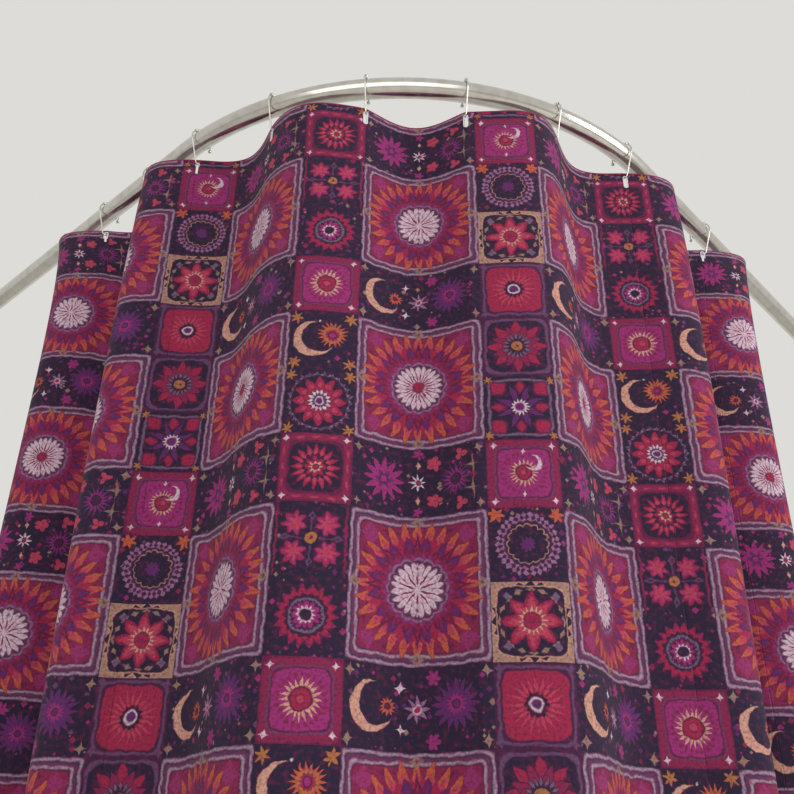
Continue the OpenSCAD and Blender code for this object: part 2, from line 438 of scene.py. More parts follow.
def sums(tree, kind, *values):
    node = tree.nodes.new("ShaderNodeMath")
    node.operation = kind
    for value, socket in zip(values, node.inputs):
        plug(tree, value, socket)
    return Field(tree, node.outputs[0])


def soft(value, edge):
    """1 where value is above 0, 0 where it is below, with a blur as wide as edge."""
    tree = value.tree
    ramp = sums(tree, "MULTIPLY_ADD", value, 1.0 / edge, 0.5)
    node = tree.nodes.new("ShaderNodeClamp")
    plug(tree, ramp, node.inputs[0])
    return Field(tree, node.outputs[0])


def shade(code):
    """A colour given as six hexadecimal digits, as the linear values that nodes use."""
    rgb = [int(code[i:i + 2], 16) / 255 for i in (0, 2, 4)]
    return tuple(c / 12.92 if c < 0.04045 else ((c + 0.055) / 1.055) ** 2.4 for c in rgb) + (1.0,)


def blend_colour(tree, under, over, share):
    node = tree.nodes.new("ShaderNodeMix")
    node.data_type = "RGBA"
    plug(tree, share, node.inputs[0])
    plug(tree, under, node.inputs[6])
    plug(tree, over, node.inputs[7])
    return Field(tree, node.outputs[2])


# %% Groups with named sockets
KINDS = {"value": "NodeSocketFloat", "colour": "NodeSocketColor", "vector": "NodeSocketVector"}


def new_group(name, takes, gives):
    """Sockets are listed as in "Place:vector Across Down", where a bare name stands for a value."""
    tree = bpy.data.node_groups.new(name, "ShaderNodeTree")
    for way, listed in (("INPUT", takes), ("OUTPUT", gives)):
        for label, _, kind in (word.partition(":") for word in listed.split()):
            tree.interface.new_socket(name=label, in_out=way, socket_type=KINDS[kind or "value"])
    start, end = tree.nodes.new("NodeGroupInput"), tree.nodes.new("NodeGroupOutput")
    return tree, {s.name: Field(tree, s) for s in start.outputs if s.name}, end


def give(end, **values):
    for label, value in values.items():
        plug(end.id_data, value, end.inputs[label])


def use(tree, group, **values):
    """Places a group in a tree. It gives one Field, or a dictionary if the group has more outputs."""
    node = tree.nodes.new("ShaderNodeGroup")
    node.node_tree = group
    for label, value in values.items():
        plug(tree, value, node.inputs[label])
    outs = {s.name: Field(tree, s) for s in node.outputs}
    return outs if len(outs) > 1 else next(iter(outs.values()))


# %% [markdown]
# ## Four brushes
# The whole print needs only four shapes. `petals` draws a ring of petals or, with equal radii, a disc.
# `patch` draws anything from a four-pointed star to a diamond, an oval and a rounded square, by the
# power it raises the two distances to. `crescent` takes a bite out of a disc. `sprigs` strews small
# buds over the whole cloth, and the dark tiles use them as their ground.

# %% Brush: a point's distance and angle from a middle
polar, p, end = new_group("polar", "X Y MidX MidY", "Radius Angle")
dx, dy = p["X"] - p["MidX"], p["Y"] - p["MidY"]
give(end, Radius=sums(polar, "SQRT", dx * dx + dy * dy),
     Angle=sums(polar, "ARCTAN2", dy, dx) / math.tau)

# %% Brush: petals
petals, p, end = new_group(
    "petals", "Under:colour Petal:colour Rim:colour Radius Angle Count Turn Inner Outer Point Line", "Color:colour")
phase = sums(petals, "FRACT", p["Angle"] * p["Count"] + p["Turn"])
off_middle = abs(phase * 2.0 - 1.0)
reach = p["Inner"] + (p["Outer"] - p["Inner"]) * (1.0 - off_middle ** p["Point"])
gap = reach - p["Radius"]
rimmed = blend_colour(petals, p["Under"], p["Rim"], soft(gap + p["Line"], 0.035))
give(end, Color=blend_colour(petals, rimmed, p["Petal"], soft(gap, 0.035)))

# %% Brush: patch
patch, p, end = new_group("patch", "Under:colour Paint:colour X Y MidX MidY Wide High Power", "Color:colour")
across = abs((p["X"] - p["MidX"]) / p["Wide"]) ** p["Power"]
up = abs((p["Y"] - p["MidY"]) / p["High"]) ** p["Power"]
size = (across + up) ** (1.0 / p["Power"])
smaller = sums(patch, "MINIMUM", p["Wide"], p["High"])
give(end, Color=blend_colour(patch, p["Under"], p["Paint"], soft((1.0 - size) * smaller, 0.035)))

# %% Brush: crescent
crescent, p, end = new_group("crescent", "Under:colour Paint:colour X Y MidX MidY Size Bite", "Color:colour")
disc = use(crescent, polar, X=p["X"], Y=p["Y"], MidX=p["MidX"], MidY=p["MidY"])["Radius"]
bite = use(crescent, polar, X=p["X"], Y=p["Y"], MidX=p["MidX"] + p["Size"] * p["Bite"],
           MidY=p["MidY"] + p["Size"] * 0.14)["Radius"]
moon = soft(p["Size"] - disc, 0.03) * (1.0 - soft(p["Size"] * 0.86 - bite, 0.03))
give(end, Color=blend_colour(crescent, p["Under"], p["Paint"], moon))

# %% Brush: sprigs
NAVY, PLUM, CRIMSON, WINE = "201631", "3e173a", "811d47", "61143e"
MAGENTA, PURPLE, RED, CORAL = "93276d", "5b2262", "981e43", "b03b55"
ORANGE, PEACH, OCHRE, LILAC = "b65337", "c69280", "a5683c", "91648b"
PALE, MAUVE, GREY, TAN = "ceb3c3", "603d62", "6a5672", "8d7065"
SAND, ROSE, MALLOW, BERRY, FADED = "a37d6c", "b393ad", "b79bb2", "8e2a62", "c9bcc4"

sprigs, p, end = new_group("sprigs", "Place:vector Scale", "Color:colour")
cells = sprigs.nodes.new("ShaderNodeTexVoronoi")
cells.distance = "MANHATTAN"
plug(sprigs, p["Place"], cells.inputs["Vector"])
plug(sprigs, p["Scale"], cells.inputs["Scale"])
split = sprigs.nodes.new("ShaderNodeSeparateColor")
sprigs.links.new(cells.outputs["Color"], split.inputs[0])
tint = sprigs.nodes.new("ShaderNodeValToRGB")
tint.color_ramp.interpolation = "CONSTANT"
for place, code in ((0.0, NAVY), (0.22, CRIMSON), (0.40, PURPLE), (0.58, MAGENTA), (0.76, TAN), (0.88, MAUVE)):
    stop = tint.color_ramp.elements.new(place) if place else tint.color_ramp.elements[0]
    stop.color = shade(code)
tint.color_ramp.elements.remove(tint.color_ramp.elements[-1])
sprigs.links.new(split.outputs["Red"], tint.inputs[0])
bud = Field(sprigs, split.outputs["Green"]) * 0.30 + 0.24 - Field(sprigs, cells.outputs["Distance"])
give(end, Color=blend_colour(sprigs, NAVY, Field(sprigs, tint.outputs[0]), soft(bud, 0.12)))


# %% [markdown]
# ## A canvas
# A tile is painted in layers, back to front, like a block print. The canvas keeps the colour painted so
# far and hands it to the next brush, so each tile below reads as a list of layers. The other way is to
# give each layer its own mask and mix them all at the end, but then every mask has to be kept till
# last, and a shader has only so much room for them.

# %% The canvas
class Canvas:
    def __init__(self, name, ground):
        self.tree, self.p, self.end = new_group(name, "X Y Radius Angle Sprigs:colour", "Color:colour")
        self.x, self.y = self.p["X"], self.p["Y"]
        self.colour = ground
        self.centre = {"Radius": self.p["Radius"], "Angle": self.p["Angle"]}

    def mirrored(self, way):
        """X and Y, folded over so that one shape stands for two or four."""
        return (abs(self.x) if "x" in way else self.x), (abs(self.y) if "y" in way else self.y)

    def flower(self, paint, count, inner, outer, point=1.0, turn=0.5, rim=NAVY, line=0.03, at=None, way="",
               squash=1.0):
        spot = self.centre
        if at:
            x, y = self.mirrored(way)
            spot = use(self.tree, polar, X=x, Y=y * squash, MidX=at[0], MidY=at[1] * squash)
        self.colour = use(self.tree, petals, Under=self.colour, Petal=paint, Rim=rim, Radius=spot["Radius"],
                          Angle=spot["Angle"], Count=float(count), Turn=turn, Inner=inner, Outer=outer,
                          Point=point, Line=line)
        return self

    def disc(self, paint, radius, **more):
        return self.flower(paint, 1, radius, radius, **more)

    def patch(self, paint, at, wide, high, power, way=""):
        x, y = self.mirrored(way)
        self.colour = use(self.tree, patch, Under=self.colour, Paint=paint, X=x, Y=y, MidX=at[0], MidY=at[1],
                          Wide=wide, High=high, Power=power)
        return self

    def moon(self, paint, at, size, bite=0.42):
        self.colour = use(self.tree, crescent, Under=self.colour, Paint=paint, X=self.x, Y=self.y, MidX=at[0],
                          MidY=at[1], Size=size, Bite=bite)
        return self

    def strew(self):
        """Starts from the dark ground strewn with buds, which all the dark tiles share."""
        self.colour = self.p["Sprigs"]
        return self

    def done(self):
        give(self.end, Color=self.colour)
        return self.tree


# %% [markdown]
# ## The narrow tiles
# Twelve square tiles, each one unit wide, fill the two kinds of narrow column, six in each. They are
# drawn from -1 to 1 across and up, whatever their real size.

# %% Crimson tiles
bordered_bloom = (Canvas("bordered_bloom", WINE)
                  .patch(CRIMSON, (0, 0), 0.96, 0.96, 12)
                  .patch(CORAL, (0, 0.87), 0.10, 0.03, 2, "y").patch(CORAL, (0.45, 0.87), 0.10, 0.03, 2, "xy")
                  .patch(CORAL, (0.87, 0), 0.03, 0.10, 2, "x").patch(CORAL, (0.87, 0.45), 0.03, 0.10, 2, "xy")
                  .patch(WINE, (0, 0), 0.77, 0.77, 10).patch(NAVY, (0, 0), 0.71, 0.71, 5)
                  .flower(RED, 16, 0.40, 0.66, rim=WINE, line=0.04)
                  .flower(CORAL, 16, 0.34, 0.56, 0.8, rim=RED, line=0.01)
                  .flower(PLUM, 16, 0.28, 0.38, 1.2, 0.0).flower(RED, 8, 0.20, 0.30, 1.4, rim=PLUM)
                  .flower(PEACH, 8, 0.10, 0.20, 1.0, rim=RED).disc(RED, 0.07)
                  .patch(PALE, (0.84, 0.84), 0.12, 0.12, 0.6, "xy").done())


def sunburst(name, small):
    k = 0.8 if small else 1.0
    c = (Canvas(name, WINE).patch(CRIMSON, (0, 0), 0.97, 0.97, 12).patch(MAUVE, (0, 0), 0.78, 0.78, 7)
         .patch(WINE, (0, 0), 0.745, 0.745, 7).patch(MAGENTA, (0, 0), 0.70, 0.70, 6)
         .flower(CRIMSON, 24, 0.52, 0.66, 1.0, rim=MAGENTA, line=0.0)
         .flower(MAGENTA, 24, 0.48, 0.60, 1.0, 0.0, rim=MAGENTA, line=0.0)
         .flower(PEACH, 20, 0.28 * k, 0.52 * k, 0.9, rim=CRIMSON, line=0.02)
         .disc(RED, 0.25 * k, rim=WINE, line=0.05).disc(CORAL, 0.10 * k, rim=WINE, line=0.03)
         .patch(PALE, (0.80, 0.80), 0.12, 0.12, 0.6, "xy"))
    if small:
        c.moon(PALE, (0.26, 0.30), 0.24, -0.34).patch(PALE, (0, 0.62), 0.06, 0.10, 0.7, "y")
    return c.done()


sunburst_plain, sunburst_moon = sunburst("sunburst_plain", False), sunburst("sunburst_moon", True)

radiant = (Canvas("radiant", PLUM).patch(MAUVE, (0, 0), 0.93, 0.93, 9).patch(PLUM, (0, 0), 0.86, 0.86, 8)
           .patch(RED, (0, 0), 0.80, 0.80, 6).flower(CORAL, 20, 0.30, 0.76, 0.55, rim=RED, line=0.0)
           .flower(RED, 20, 0.22, 0.48, 0.8, 0.0, rim=RED, line=0.0)
           .flower(NAVY, 12, 0.22, 0.28, 1.0).disc(PALE, 0.18, rim=WINE).disc(PURPLE, 0.10, rim=MAUVE)
           .patch(MAUVE, (0.88, 0.88), 0.14, 0.14, 0.7, "xy").done())

# %% Dark tiles with round flowers
four_blooms = (Canvas("four_blooms", NAVY).strew()
               .patch(NAVY, (0, 0.05), 0.80, 0.86, 4).patch(CRIMSON, (0.92, 0.0), 0.03, 0.9, 3, "x")
               .flower(RED, 7, 0.20, 0.34, 1.2, 0.62, rim=PLUM, line=0.05, at=(0.44, 0.40), way="xy")
               .flower(CORAL, 7, 0.10, 0.26, 1.0, 0.62, rim=MAGENTA, line=0.05, at=(0.42, 0.38), way="xy")
               .patch(MAUVE, (0, 0.62), 0.10, 0.16, 1.0, "y").patch(NAVY, (0, 0.62), 0.05, 0.09, 1.0, "y")
               .patch(MAUVE, (0.68, 0), 0.16, 0.09, 1.0, "x").patch(NAVY, (0.68, 0), 0.09, 0.04, 1.0, "x")
               .patch(MAUVE, (0, 0), 0.62, 0.03, 1.4).patch(MAUVE, (0, 0), 0.03, 0.55, 1.4)
               .disc(OCHRE, 0.15, line=0.05).disc(WINE, 0.04, rim=OCHRE).done())

round_bloom = (Canvas("round_bloom", NAVY).strew()
               .disc(NAVY, 0.84).flower(MAGENTA, 18, 0.62, 0.80, 0.9, rim=WINE, line=0.03)
               .flower(RED, 18, 0.58, 0.72, 2.0, rim=WINE).flower(PLUM, 18, 0.48, 0.54, 1.4)
               .disc(GREY, 0.46, rim=NAVY).flower(PLUM, 24, 0.36, 0.42, 1.0, rim=GREY, line=0.0)
               .flower(MAGENTA, 12, 0.24, 0.36, 2.0, rim=NAVY, line=0.04)
               .flower(PALE, 12, 0.16, 0.24, 1.0, rim=MAGENTA).disc(NAVY, 0.13, rim=PLUM).done())

lace = (Canvas("lace", NAVY).strew()
        .flower(LILAC, 30, 0.78, 0.86, 1.0, line=0.05).flower(PLUM, 30, 0.70, 0.79, 1.0, 0.0, rim=NAVY, line=0.0)
        .flower(LILAC, 30, 0.64, 0.73, 1.0, rim=PLUM, line=0.0).flower(PLUM, 20, 0.58, 0.63, 1.0, rim=PLUM)
        .flower(PEACH, 16, 0.50, 0.56, 2.0).flower(NAVY, 16, 0.45, 0.51, 2.0)
        .flower(GREY, 12, 0.30, 0.34, 0.3, rim=NAVY).flower(NAVY, 12, 0.26, 0.32, 2.0)
        .flower(PURPLE, 10, 0.15, 0.22, 1.0, rim=NAVY)
        .flower(ORANGE, 6, 0.10, 0.24, 0.9, 0.3, at=(0.80, 0.80), way="x").done())

coral_star = (Canvas("coral_star", SAND).flower(NAVY, 20, 0.90, 1.04, 0.8, rim=PEACH, line=0.03)
              .patch(PEACH, (0, 0), 0.885, 0.885, 7).patch(NAVY, (0, 0), 0.86, 0.86, 7)
              .flower(TAN, 16, 0.78, 0.86, 0.7, line=0.0)
              .flower(NAVY, 16, 0.72, 0.80, 1.0, 0.0, line=0.0).patch(GREY, (0.62, 0.62), 0.12, 0.12, 1, "xy")
              .flower(RED, 8, 0.40, 0.74, 1.2, rim=WINE, line=0.05).flower(CORAL, 8, 0.30, 0.64, 1.0, rim=RED)
              .flower(PEACH, 16, 0.22, 0.40, 0.6, rim=CORAL, line=0.0).disc(RED, 0.20, rim=WINE)
              .disc(CRIMSON, 0.09, rim=RED).done())

dark_bloom = (Canvas("dark_bloom", PLUM).patch(MAUVE, (0, 0), 0.94, 0.94, 8)
              .patch(NAVY, (0, 0), 0.87, 0.87, 5).flower(PLUM, 16, 0.66, 0.84, 0.8, 0.0)
              .flower(RED, 8, 0.34, 0.86, 1.1, rim=WINE, line=0.04)
              .flower(CRIMSON, 8, 0.30, 0.74, 1.0, 0.0, rim=NAVY, line=0.04)
              .flower(GREY, 16, 0.26, 0.44, 0.9).flower(PLUM, 16, 0.20, 0.32, 0.9, 0.0, rim=NAVY)
              .disc(OCHRE, 0.17, rim=NAVY, line=0.05).disc(WINE, 0.04, rim=OCHRE).done())

# %% Moon, wreath and gems
moon_sun = (Canvas("moon_sun", NAVY).patch(PALE, (-0.1, 0.65), 0.03, 0.03, 2).patch(GREY, (0.2, -0.7), 0.04, 0.04, 2)
            .patch(MAGENTA, (0.45, -0.55), 0.10, 0.10, 0.9).patch(MAGENTA, (0.75, -0.38), 0.06, 0.06, 0.9)
            .flower(ORANGE, 18, 0.24, 0.46, 0.9, at=(0.28, 0.20)).disc(OCHRE, 0.26, at=(0.28, 0.20), rim=ORANGE)
            .flower(RED, 12, 0.17, 0.22, 1.0, at=(0.28, 0.20), rim=OCHRE).disc(MAGENTA, 0.09, at=(0.28, 0.20))
            .moon(PEACH, (-0.28, 0.03), 0.60, 0.27)
            .flower(OCHRE, 6, 0.07, 0.22, 0.8, 0.2, at=(0.80, 0.76), way="xy").done())

wreath = (Canvas("wreath", NAVY).flower(GREY, 26, 0.84, 0.97, 0.5, line=0.0).flower(LILAC, 26, 0.82, 0.90, 0.5, 0.2)
          .disc(NAVY, 0.80).flower(RED, 12, 0.50, 0.76, 1.2, rim=WINE, line=0.03)
          .flower(CORAL, 12, 0.40, 0.60, 1.2, rim=RED, line=0.0).flower(RED, 12, 0.36, 0.48, 1.0, 0.0, rim=WINE)
          .flower(PALE, 14, 0.24, 0.34, 0.8, rim=WINE).flower(MAUVE, 14, 0.16, 0.22, 0.8, 0.0)
          .disc(PURPLE, 0.11, rim=PALE).flower(OCHRE, 6, 0.06, 0.20, 0.8, 0.2, at=(0.85, 0.85), way="xy").done())

eight_gems = (Canvas("eight_gems", NAVY).patch(GREY, (0, 0), 0.90, 0.90, 7).patch(NAVY, (0, 0), 0.83, 0.83, 7)
              .flower(PURPLE, 8, 0.20, 0.74, 0.7, 0.0, line=0.0)
              .patch(WINE, (0.60, 0.60), 0.23, 0.23, 4, "xy").patch(RED, (0.60, 0.60), 0.18, 0.18, 4, "xy")
              .patch(WINE, (0, 0.62), 0.17, 0.24, 1.2, "y").patch(RED, (0, 0.62), 0.12, 0.18, 1.2, "y")
              .patch(WINE, (0.62, 0), 0.24, 0.17, 1.2, "x").patch(RED, (0.62, 0), 0.18, 0.12, 1.2, "x")
              .flower(PALE, 14, 0.16, 0.27, 0.9, line=0.05).disc(PURPLE, 0.11, rim=MAGENTA)
              .flower(OCHRE, 6, 0.05, 0.14, 0.8, 0.2, at=(0.88, 0.88), way="xy").done())

# %% [markdown]
# ## Strips and medallions
# The wide columns carry strips two units long, drawn from -2 to 2 across, and square medallions of two
# units, drawn from -1 to 1. The two medallions differ only in their middle.

# %% Strips
flower_strip = (Canvas("flower_strip", NAVY).strew()
                .flower(MAGENTA, 12, 0.34, 0.66, 1.0, rim=NAVY, line=0.06, at=(-1.0, 0.0))
                .flower(PURPLE, 6, 0.12, 0.30, 1.0, at=(-1.0, 0.0), rim=MAGENTA).disc(MAGENTA, 0.10, at=(-1.0, 0.0))
                .flower(PURPLE, 16, 0.20, 0.50, 0.8, at=(1.1, 0.0), line=0.06)
                .flower(MAGENTA, 16, 0.12, 0.34, 0.8, at=(1.1, 0.0), rim=PURPLE).disc(PLUM, 0.14, at=(1.1, 0.0))
                .flower(CORAL, 5, 0.14, 0.22, 2.0, at=(0.46, 0.55), way="y", line=0.05)
                .flower(CORAL, 3, 0.06, 0.20, 1.4, at=(1.25, 0.72), way="y", line=0.05)
                .patch(TAN, (1.62, 0.35), 0.05, 0.34, 0.8, "y").patch(TAN, (1.55, 0.35), 0.24, 0.04, 0.8, "y")
                .flower(PALE, 8, 0.07, 0.26, 0.8, at=(0.0, 0.0), line=0.06).disc(RED, 0.05, at=(0.0, 0.0))
                .patch(PEACH, (0, 0.52), 0.07, 0.12, 0.9, "y")
                .flower(MAGENTA, 5, 0.06, 0.16, 1.2, at=(0, 0.86), way="y")
                .patch(TAN, (1.82, 0.80), 0.17, 0.17, 0.55, "xy").done())

moon_strip = (Canvas("moon_strip", NAVY).strew()
              .disc(NAVY, 0.60, at=(-1.15, 0.02), rim=NAVY).moon(PEACH, (-1.2, 0.0), 0.60, 0.27)
              .flower(ORANGE, 12, 0.12, 0.24, 0.9, at=(-0.76, 0.02)).disc(WINE, 0.06, at=(-0.76, 0.02))
              .patch(PALE, (-0.42, 0.50), 0.18, 0.18, 0.5, "y")
              .flower(LILAC, 8, 0.10, 0.34, 0.8, at=(0.0, 0.0), line=0.06).disc(RED, 0.07, at=(0.0, 0.0), rim=PALE)
              .flower(PURPLE, 16, 0.36, 0.64, 1.0, at=(1.0, 0.08), line=0.05)
              .flower(MAGENTA, 14, 0.16, 0.28, 0.9, at=(1.0, 0.08), rim=PURPLE).disc(PURPLE, 0.09, at=(1.0, 0.08))
              .flower(MAGENTA, 6, 0.10, 0.20, 1.5, at=(0.42, 0.74), way="y", line=0.04)
              .patch(TAN, (1.84, 0.80), 0.18, 0.20, 0.55, "xy").done())


# %% Medallions
def medallion(name, crossed):
    c = (Canvas(name, PLUM).patch(ROSE, (0, 0), 0.98, 0.98, 40).patch(PLUM, (0, 0), 0.955, 0.955, 40)
         .patch(MAUVE, (0, 0), 0.925, 0.925, 40).patch(WINE, (0, 0), 0.905, 0.905, 40)
         .patch(MALLOW, (0, 0), 0.88, 0.88, 36).patch(PLUM, (0, 0), 0.858, 0.858, 30)
         .patch(CRIMSON, (0, 0), 0.835, 0.835, 24).patch(BERRY, (0.68, 0.68), 0.17, 0.17, 0.8, "xy")
         .patch(WINE, (0.40, 0.76), 0.10, 0.05, 1.0, "xy").patch(WINE, (0.76, 0.40), 0.05, 0.10, 1.0, "xy")
         .flower(ORANGE, 28, 0.60, 0.92, 1.5, rim=WINE, line=0.02)
         .flower(CORAL, 28, 0.54, 0.80, 1.4, rim=ORANGE, line=0.0)
         .flower(RED, 28, 0.62, 0.74, 0.8, 0.0, rim=CRIMSON, line=0.0)
         .flower(PURPLE, 16, 0.44, 0.70, 1.1, 0.0, rim=WINE, line=0.03)
         .flower(CRIMSON, 16, 0.40, 0.60, 1.0, 0.0, rim=PURPLE, line=0.02)
         .flower(WINE, 8, 0.30, 0.80, 0.55, rim=WINE, line=0.0).flower(RED, 8, 0.30, 0.70, 0.45, rim=WINE, line=0.02)
         .flower(CRIMSON, 24, 0.44, 0.54, 1.2, rim=WINE).flower(MAGENTA, 24, 0.42, 0.49, 1.0, 0.0, rim=CRIMSON)
         .flower(LILAC, 16, 0.385, 0.425, 2.0, rim=PLUM, line=0.02).flower(PLUM, 16, 0.36, 0.40, 2.0, rim=LILAC)
         .flower(MAUVE, 16, 0.33, 0.37, 2.0, rim=WINE, line=0.0))
    if crossed:
        c.flower(PALE, 20, 0.26, 0.36, 2.0, 0.0, rim=WINE).flower(CRIMSON, 20, 0.05, 0.31, 0.65, rim=PALE, line=0.0)
        c.flower(PALE, 10, 0.03, 0.22, 0.6, rim=CRIMSON, line=0.0).patch(PALE, (0, 0.27), 0.05, 0.08, 1.0, "y")
        c.patch(WINE, (0, 0.27), 0.02, 0.035, 1.0, "y")
    else:
        c.flower(PALE, 24, 0.27, 0.36, 2.0, rim=WINE).flower(CRIMSON, 24, 0.06, 0.32, 0.65, 0.0, rim=PALE, line=0.0)
        c.flower(PALE, 12, 0.06, 0.20, 0.6, rim=CRIMSON, line=0.0).disc(RED, 0.075, rim=WINE, line=0.02)
    return (c.patch(TAN, (0, 0.905), 0.085, 0.075, 1.0, "y").patch(TAN, (0.905, 0), 0.075, 0.085, 1.0, "x")
            .patch(WINE, (0, 0.905), 0.02, 0.03, 1.0, "y").patch(WINE, (0.905, 0), 0.02, 0.03, 1.0, "x").done())


crossed_medallion, dotted_medallion = medallion("medallion_crossed", True), medallion("medallion_dotted", False)

# %% [markdown]
# ## The patchwork
# One group lays the tiles out. It turns the flat place on the cloth into units of 84.8 mm, and says
# where a point is inside its wide tile, its strip or its small tile. A wide and a narrow column fill
# three units together, and the rows repeat after six. A little noise added to the place makes every
# line waver as on a hand-cut block.
# One finish could then pick among the sixteen tiles at every point, but it would work all of them
# out each time to show one. Since each quad knows its tile, each tile has a finish of its own instead.

# %% The patchwork group
def noise(tree, vector, scale, detail):
    node = tree.nodes.new("ShaderNodeTexNoise")
    plug(tree, vector, node.inputs["Vector"])
    node.inputs["Scale"].default_value = scale
    node.inputs["Detail"].default_value = detail
    return node


def cloudy(tree, vector, scale, detail):
    """A value near a half that drifts up and down over the surface."""
    return Field(tree, noise(tree, vector, scale, detail).outputs["Fac"])


def object_place(tree):
    return Field(tree, tree.nodes.new("ShaderNodeTexCoord").outputs["Object"])


patchwork, p, end = new_group("patchwork", "Place:vector Across Down Waver",
                              "WideX SquareY StripY SmallX SmallY")
shake = patchwork.nodes.new("ShaderNodeSeparateColor")
patchwork.links.new(noise(patchwork, p["Place"], 6.5 / UNIT, 3.0).outputs["Color"], shake.inputs[0])
across = p["Across"] / UNIT + (Field(patchwork, shake.outputs["Red"]) - 0.5) * p["Waver"]
down = p["Down"] / UNIT - TOP_BAND + (Field(patchwork, shake.outputs["Green"]) - 0.5) * p["Waver"]
in_column, in_row = (across + 1.0) % 3.0, down % 3.0
give(end, WideX=in_column - 1.0, SquareY=2.0 - in_row, StripY=1.0 - in_row * 2.0,
     SmallX=(in_column - 2.5) * 2.0, SmallY=1.0 - (down % 1.0) * 2.0)

# %% The sixteen tiles in their order
tiles = ([(crossed_medallion, "square"), (dotted_medallion, "square"), (flower_strip, "strip"),
          (moon_strip, "strip")]
         + [(tile, "small") for tile in (sunburst_moon, lace, coral_star, radiant, dark_bloom, eight_gems,
                                         bordered_bloom, four_blooms, round_bloom, sunburst_plain,
                                         moon_sun, wreath)])


def paint(tree, tile, kind, place, u, v):
    """The colour of one tile at a place on the flat cloth."""
    at = use(tree, patchwork, Place=place, Across=u, Down=v, Waver=0.085)
    x, y = {"square": (at["WideX"], at["SquareY"]), "small": (at["SmallX"], at["SmallY"]),
            "strip": (at["WideX"] * 2.0, at["StripY"])}[kind]
    spot = use(tree, polar, X=x, Y=y, MidX=0.0, MidY=0.0)
    buds = use(tree, sprigs, Place=place, Scale=9.0 / UNIT) if kind != "square" else None
    return use(tree, tile, X=x, Y=y, Sprigs=buds, **spot)


print(len(tiles), "tiles with", sum(len(tile.nodes) for tile, kind in tiles), "nodes in them")

# %% [markdown]
# ## Cloth finishes
# Every tile has two finishes, thirty-two in all. The front is a matte woven polyester with the print
# soaked into it. The back is the same cloth seen from the unprinted side: paler, with the print
# showing through. All of them share a plain weave with a thread every 0.3 mm, which is the real way
# such cloth is made, and two mottles that stand for uneven dye: a fine one that lets the dark ground
# through and a wider one that warms it. A line of stitches runs under the top hem.

# %% The weave group
weave, p, end = new_group("weave", "Across Down Pair", "Height Tint")
warp = sums(weave, "SINE", p["Across"] / p["Pair"] * math.tau)
weft = sums(weave, "SINE", p["Down"] / p["Pair"] * math.tau)
give(end, Height=abs(warp) * 0.5 + abs(weft) * 0.5, Tint=warp * weft * 0.5 + 0.5)


def new_material(name):
    material = bpy.data.materials.new(name)
    material.use_nodes = True
    tree = material.node_tree
    return material, tree, tree.nodes["Principled BSDF"]


def flat_place(tree):
    """The place on the flat cloth, and how far it is across and down, from the piece's own map."""
    node = tree.nodes.new("ShaderNodeUVMap")
    node.uv_map = "flat"
    split = tree.nodes.new("ShaderNodeSeparateXYZ")
    tree.links.new(node.outputs[0], split.inputs[0])
    return Field(tree, node.outputs[0]), Field(tree, split.outputs["X"]), Field(tree, split.outputs["Y"])


def bump(tree, shader, height, distance, strength=1.0):
    node = tree.nodes.new("ShaderNodeBump")
    node.inputs["Strength"].default_value = strength
    node.inputs["Distance"].default_value = distance
    plug(tree, height, node.inputs["Height"])
    tree.links.new(node.outputs[0], shader.inputs["Normal"])


# %% Cloth materials
THREAD_PAIR = 0.0006                            # two neighbouring threads of the weave
SEAM_DOWN, STITCH, STITCH_GAP = 0.0305, 0.0032, 0.0009


def cloth_material(name, tile, kind, fade):
    material, tree, shader = new_material(name)
    place, u, v = flat_place(tree)
    colour = paint(tree, tile, kind, place, u, v)
    threads = use(tree, weave, Across=u, Down=v, Pair=THREAD_PAIR)
    mottle, brush = cloudy(tree, place, 320.0, 3.0), cloudy(tree, place, 150.0, 4.0)
    colour = blend_colour(tree, colour, NAVY, (mottle - 0.46) * 2.4)
    colour = blend_colour(tree, colour, CRIMSON, (brush - 0.50) * 1.6)
    colour = blend_colour(tree, colour, PALE, threads["Tint"] * 0.03)
    colour = blend_colour(tree, colour, CRIMSON, soft(HEM_BAND - v, 0.0006))
    stitch = soft(0.0003 - abs(v - SEAM_DOWN), 0.0003) * soft((u % STITCH) - STITCH_GAP, 0.0004)
    colour = blend_colour(tree, colour, PLUM, stitch)
    if fade:
        colour = blend_colour(tree, colour, FADED, fade)
    plug(tree, colour, shader.inputs["Base Color"])
    shader.inputs["Roughness"].default_value = 0.86
    shader.inputs["Specular IOR Level"].default_value = 0.15
    shader.inputs["Sheen Weight"].default_value = 0.05
    shader.inputs["Sheen Roughness"].default_value = 0.45
    bump(tree, shader, threads["Height"] - stitch * 1.5, 0.00015, 0.6)
    return material


fronts = [cloth_material("printed_" + tile.name, tile, kind, 0.0) for tile, kind in tiles]
backs = [cloth_material("reverse_" + tile.name, tile, kind, 0.62) for tile, kind in tiles]
for piece in cloth.values():
    for slot, material in enumerate(fronts + backs):
        piece.data.materials[slot] = material
    thicken(piece)
    select_only(piece)
    bpy.ops.object.material_slot_remove_unused()
    print(piece.name, len(piece.material_slots), "finishes")
